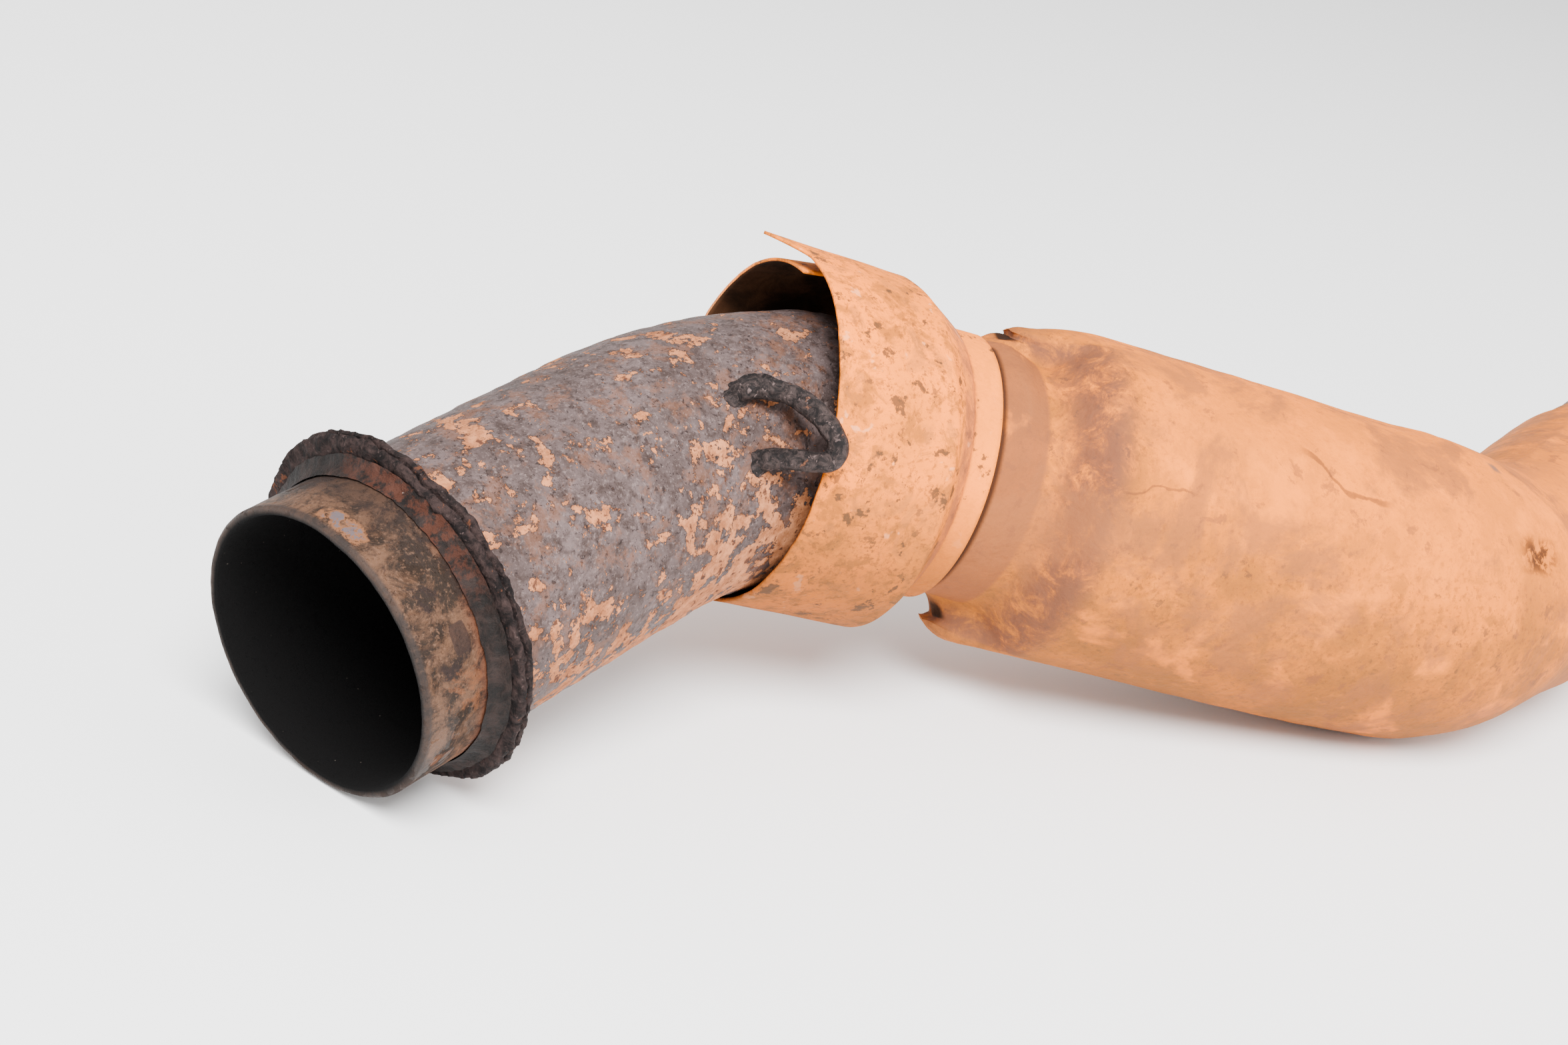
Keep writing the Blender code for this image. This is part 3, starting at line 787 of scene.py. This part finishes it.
def front_stains_and_shade(look, mottle):
    """The front shield's stains and painted shade, each a mask, its colour and how thick it lies."""
    blotch = look.step(look.noise(0.0080, 6, 0.64, 0.5, 12.0), 0.54, 0.64)
    spots = look.step(look.noise(0.0044, 7, 0.68, 0.2, 14.0), 0.585, 0.625)
    pink = look.step(look.noise(0.0052, 3, 0.6, 0.2, 16.0), 0.64, 0.70)
    neck = look.step(look.station, 136.8, 138.0)
    ridge = look.times(look.band(132.0, 136.9, 1.0), look.step(mottle, 0.30, 0.55))
    return [
        (blotch, (0.34, 0.110, 0.030), 0.45),
        (pink, (0.90, 0.34, 0.150), 0.65),
        (neck, (0.99, 0.235, 0.006), 0.70),
        # Painted shade: the low side of the sleeve is darkened.
        (look.facing(-150, 75), (0.070, 0.044, 0.020), 0.64),
        (spots, (0.062, 0.036, 0.021), 0.85),
        (ridge, (0.30, 0.090, 0.040), 0.60),
    ]


def rear_stains_light_and_shade(look, mottle):
    """The rear shield's stains, painted shade, painted shadows and painted light, listed from the lowest
    layer to the topmost.
    """
    band = look.inverse(look.step(look.station, 154.0, 155.2))
    ring = look.times(look.band(158, 168, 3.2), look.step(mottle, 0.34, 0.54))
    dark = look.step(look.noise(0.020, 7, 0.66, 0.5, 21.0), 0.48, 0.61)
    small = look.step(look.noise(0.0060, 7, 0.68, 0.4, 23.0), 0.58, 0.65)
    bright = look.step(look.noise(0.016, 5, 0.6, 0.4, 27.0), 0.56, 0.68)
    dent = look.times(look.band(256.5, 267.0, 2.5), look.facing(-53, 9))
    dent = look.times(dent, look.step(look.noise(0.0035, 6, 0.7, 0.3, 35.0), 0.44, 0.56))
    dot = look.times(look.band(257.4, 260.0, 0.8), look.facing(-15, 3.6))
    # Painted shadow: the pockets under the two ears are painted near black.
    upper = look.times(look.band(158.0, 163.5, 1.0), look.facing(12, 8))
    lower = look.times(look.band(158.5, 163.0, 1.5), look.facing(192, 7))
    ear_shadow = look.step(look.plus(upper, lower), 0.05, 0.80)
    # Painted shade: the inside of the rear bend is darkened in brown.
    inner_bend = look.times(look.facing(55, 70), look.step(mottle, 0.32, 0.56))
    bend_shade = look.times(look.band(262, 302, 10), inner_bend)
    # Painted shadow: a thin dark line just behind the front shield's lip, where its edge throws shade.
    lip_shadow = look.inverse(look.step(look.station, 144.8, 146.0))
    # Painted light: the top of the shield on the camera's side is painted lighter, where the lamps fall on
    # it.
    crown = look.times(look.facing(-22, 62), look.step(look.station, 168, 176))
    return [
        # Painted shade: the low side of the shield is darkened.
        (look.facing(-150, 75), (0.180, 0.076, 0.022), 0.55),
        (band, (0.22, 0.070, 0.026), 0.85),
        (crown, (0.86, 0.205, 0.008), 0.50),
        (bright, (0.84, 0.205, 0.010), 0.60),
        (ring, (0.118, 0.048, 0.031), 0.82),
        (dark, (0.26, 0.086, 0.028), 0.65),
        (small, (0.20, 0.066, 0.026), 0.60),
        (bend_shade, (0.20, 0.078, 0.040), 0.75),
        # Painted shade: two fine creases on the near side, drawn as thin dark lines.
        (look.crease_shade(207, 226, -33, -45, 1.3), (0.105, 0.038, 0.018), 0.65),
        (look.crease_shade(168, 182, -66, -60, 0.7), (0.105, 0.038, 0.020), 0.55),
        (dent, (0.030, 0.014, 0.009), 0.90),
        (dot, (0.080, 0.070, 0.062), 0.80),
        (ear_shadow, (0.011, 0.006, 0.004), 0.94),
        (lip_shadow, (0.024, 0.010, 0.006), 0.90),
    ]


# %% [markdown]
# The front shield is a loose sleeve that no longer closes.
# Its near edge has sprung up over the far one and ends in a curled, pointed corner, and the hammered
# shoulder at its back runs down to a narrow neck.
# It is rolled as one open sheet, and a Solidify modifier gives it the sheet's thickness.

# %% The front shield
SHEET = 0.0006
FRONT_MOUTH = 0.1012
FRONT_SHOULDER = 0.1275
FRONT_LEAN = Vector((-0.222, -0.223, 1))
FRONT_SHIFT = Vector((0.0008, 0.0042, 0))


def front_frame(share, station):
    """The sleeve's frame: loose and leaning at its mouth, and true to the pipe from the shoulder on."""
    if share >= 1.0:
        return frame_at(station)
    mouth, shoulder = frame_at(FRONT_MOUTH), frame_at(FRONT_SHOULDER)
    axis = (mouth.to_3x3() @ FRONT_LEAN).normalized()
    along = axis.lerp(shoulder.to_3x3() @ Vector((0, 0, 1)), share).normalized()
    centre = (mouth @ FRONT_SHIFT).lerp(shoulder.translation, share)
    return upright(centre, along)


def front_rows():
    """Each row's share of the way to the shoulder, its station and its radius."""
    neck, body, mouth = NARROW_RADIUS + 0.0018, 0.0331, 0.0318
    rows = []
    for share in spread(0, 1, 0.04):
        station = FRONT_MOUTH + (FRONT_SHOULDER - FRONT_MOUTH) * share
        rows.append((share, station, mouth + (body - mouth) * share))
    rows += [(1.0, 0.1281, 0.0330), (1.0, 0.1287, 0.0327)]
    rows += [(1.0, 0.1292 + 0.0066 * share, 0.0323 - 0.0051 * share) for share in spread(0, 1, 0.1)]
    rows += [(1.0, 0.1363, 0.0268), (1.0, 0.1367, 0.0262), (1.0, 0.1372, 0.0257), (1.0, 0.1380, neck)]
    rows += [(1.0, station, neck) for station in spread(0.1388, 0.1435, 0.0009)]
    return rows


def make_front_shield():
    rows = front_rows()
    frames = [front_frame(share, station) for share, station, _ in rows]
    columns = 260
    lap = math.radians(12)

    def place(row, column):
        share, station, radius = rows[row]
        way = column / columns
        angle = math.radians(10) - (2 * math.pi + lap) * way
        near_edge = smoothstep(1 - way / 0.24)
        raised = 0.0009 * smoothstep(1.5 - way * 1.7) + 0.0024 * near_edge * (1 - share)
        corner = 0.0066 * smoothstep(1 - way / 0.036) * max(0.0, 1 - share * 3)
        spot = around(frames[row], radius, angle)
        dents = 0.00030 * rough(spot, 0.014, 2) * smoothstep((0.1400 - station) / 0.006)
        ragged = 0.00030 * rough(spot, 0.0080, 3) * (1 - share) ** 6
        reach = radius + raised + corner * 0.12 + dents
        return around(frames[row], reach, angle, ragged - corner), station, angle

    sheet = rolled("front_shield_sheet", len(rows) - 1, columns, place, weld=False, sharp=50)
    thicken(sheet, SHEET, -1.0, inner=1)
    return sheet


front_shield = finish_piece(
    make_front_shield(),
    "front_shield",
    tan_sheet("tan_sheet", light=(0.97, 0.218, 0.006), shade=(0.62, 0.156, 0.010), stains_light_and_shade=front_stains_and_shade),
)
inside_look = sooted_sheet()
front_shield.data.materials.append(inside_look)

# %% [markdown]
# The rear shield is two pressed halves that meet in seams along the top and the bottom.
# At its front the seams were never dressed down to the neck, so each leaves a torn ear there,
# standing out over a pocket whose shadow is painted dark on the sheet.
# Heat and knocks have left it with shallow dents and fine creases on the near side; the creases are painted
# as thin lines of shade, and the inside of the rear bend is painted with brown shade.

# %% The rear shield
EARS = (math.radians(14), math.radians(190))
REAR_START = 0.1415
NECK_END = 0.155
RISE_END = 0.168
REAR_RADIUS = 0.0324
TAIL_RADIUS = 0.0262
TAIL_END = LENGTH - 0.030
BODY_END = TAIL_END - 0.026


def rear_radius(station):
    """The long body's radius, which closes in round the rear bend."""
    share = smoothstep((station - 0.250) / 0.045)
    return REAR_RADIUS + (TAIL_RADIUS - REAR_RADIUS) * share


def rear_rows():
    """Each row's station and radius, and how far the ears pull, stretch and dip it."""
    neck = NARROW_RADIUS + 0.0009
    plain = (0.0, 0.0, 0.0)
    rows = []
    for station in spread(REAR_START, 0.1539, 0.0013):
        rows.append((station, neck, (station - REAR_START) / (NECK_END - REAR_START), 0.0, 0.0))
    for share in spread(0.0, 1.0, 0.06):
        row = (NECK_END + (RISE_END - NECK_END) * share, neck + (REAR_RADIUS - neck) * smoothstep(share))
        rows.append((*row, 1.0, share ** 2.2, smoothstep((share - 0.15) / 0.70)))
    for share in spread(0.07, 1.0, 0.07):
        left = 1 - share ** 1.6
        rows.append((RISE_END + 0.007 * share, REAR_RADIUS, left, left, (1 - share) ** 2.1))
    rows += [(station, rear_radius(station), *plain) for station in spread(0.1766, 0.3000, 0.0016)]
    rows += [(station, rear_radius(station), *plain) for station in spread(0.3040, BODY_END, 0.0040)]
    for share in spread(0.1, 1, 0.1):
        radius = TAIL_RADIUS + (neck - TAIL_RADIUS) * smoothstep(share)
        rows.append((BODY_END + 0.014 * share, radius, *plain))
    rows += [(station, neck, *plain) for station in spread(TAIL_END - 0.010, TAIL_END, 0.002)]
    return rows


def make_rear_shield():
    rows = rear_rows()
    columns = 220

    def place(row, column):
        station, radius, pull, stretch, dip = rows[row]
        angle = EARS[0] - ring_angle(column, columns)
        upper, lower = (smoothstep(1.4 - abs(turn(angle, centre)) / math.radians(13)) for centre in EARS)
        crown = smoothstep(1 - abs(turn(angle, EARS[0])) / math.radians(60))
        keel = smoothstep(1 - abs(turn(angle, EARS[1])) / math.radians(42))
        moved = station - (0.0100 * upper + 0.0062 * lower) * pull
        moved -= (0.0078 * upper + 0.0107 * lower) * stretch
        radius -= 0.0056 * upper * dip + 0.0028 * lower * dip ** 2.2
        radius += 0.0021 * crown * bump(moved, 0.1485, 0.0080)
        radius += 0.0006 * keel * bump(moved, 0.1565, 0.0070)
        notch = bump(turn(angle, math.radians(9)), 0, 0.12)
        radius -= 0.0008 * upper * bump(station, 0.1585, 0.0035) * notch
        base = frame_at(moved)
        spot = around(base, radius, angle)
        free = smoothstep((station - 0.150) / 0.02) * smoothstep((TAIL_END - 0.014 - station) / 0.03)
        dents = free * (0.00050 * rough(spot, 0.030, 2) + 0.00020 * rough(spot, 0.010, 2))
        dents -= 0.0011 * bump(station, 0.2626, 0.006) * bump(turn(angle, math.radians(-53)), 0, 0.17)
        seam = 0.00035 * max(bump(turn(angle, centre), 0, 0.06) for centre in EARS) * free
        return around(base, radius + dents + seam, angle), station, angle

    sheet = rolled("rear_shield_sheet", len(rows) - 1, columns, place, weld=True, sharp=50)
    thicken(sheet, SHEET, -1.0, inner=1)
    return sheet


rear_shield = finish_piece(
    make_rear_shield(),
    "rear_shield",
    tan_sheet("stained_sheet", light=(0.62, 0.152, 0.006), shade=(0.34, 0.100, 0.012), stains_light_and_shade=rear_stains_light_and_shade),
)
rear_shield.data.materials.append(inside_look)

# %% [markdown]
# ## Camera, floor and light
# The photograph looks down at the mouth from its near side, with the pipe running away to the
# right and out of the picture.
# The camera was fitted to points on the tube in the photograph, and its lens is the one that
# makes the near mouth and the far bend agree.
# The floor is plain and pale, under a wide soft sky and two large lamps, the stronger at the
# front left.

# %% Camera
RIGHT = Vector((0.724607, -0.651599, 0.224420))
UP = Vector((0.084046, 0.406762, 0.909660))
BACK = Vector((-0.684019, -0.640284, 0.349507))
CAMERA_SPOT = (-0.41914, -0.27197, 0.19613)
LENS_MM = 56.55
lens = bpy.data.cameras.new("photo_camera")
lens.sensor_width = 36
lens.lens = LENS_MM
lens.clip_start = 0.01
camera = bpy.data.objects.new("photo_camera", lens)
turned = Matrix((RIGHT, UP, BACK)).transposed().to_4x4()
camera.matrix_world = Matrix.Translation(CAMERA_SPOT) @ turned
bpy.context.collection.objects.link(camera)
bpy.context.scene.camera = camera

# %% Floor
floor_mesh = bmesh.new()
bmesh.ops.create_grid(floor_mesh, x_segments=1, y_segments=1, size=12)
floor_data = bpy.data.meshes.new("floor")
floor_mesh.to_mesh(floor_data)
floor_mesh.free()
floor = bpy.data.objects.new("floor", floor_data)
bpy.context.collection.objects.link(floor)
paint = bpy.data.materials.new("floor_white")
paint.use_nodes = True
floor_shader = paint.node_tree.nodes["Principled BSDF"]
floor_shader.inputs["Base Color"].default_value = (0.92, 0.92, 0.92, 1)
floor_shader.inputs["Roughness"].default_value = 0.9
floor_data.materials.append(paint)


# %% Light
def area_light(name, place, target, size, power):
    lamp = bpy.data.lights.new(name, "AREA")
    lamp.shape = "DISK"
    lamp.size = size
    lamp.energy = power
    holder = bpy.data.objects.new(name, lamp)
    aim = Vector(target) - Vector(place)
    holder.matrix_world = Matrix.Translation(place) @ aim.to_track_quat("-Z", "Y").to_matrix().to_4x4()
    bpy.context.collection.objects.link(holder)


area_light("key", (-0.9, -0.9, 1.5), (0, 0, 0.03), size=1.1, power=134)
area_light("fill", (0.9, -1.4, 0.7), (0.05, 0, 0.03), size=1.2, power=20)
world = bpy.data.worlds.new("sky")
world.use_nodes = True
background = world.node_tree.nodes["Background"]
background.inputs["Color"].default_value = (1, 1, 1, 1)
background.inputs["Strength"].default_value = 1.3
bpy.context.scene.world = world
print("camera and", len(bpy.data.lights), "lamps")
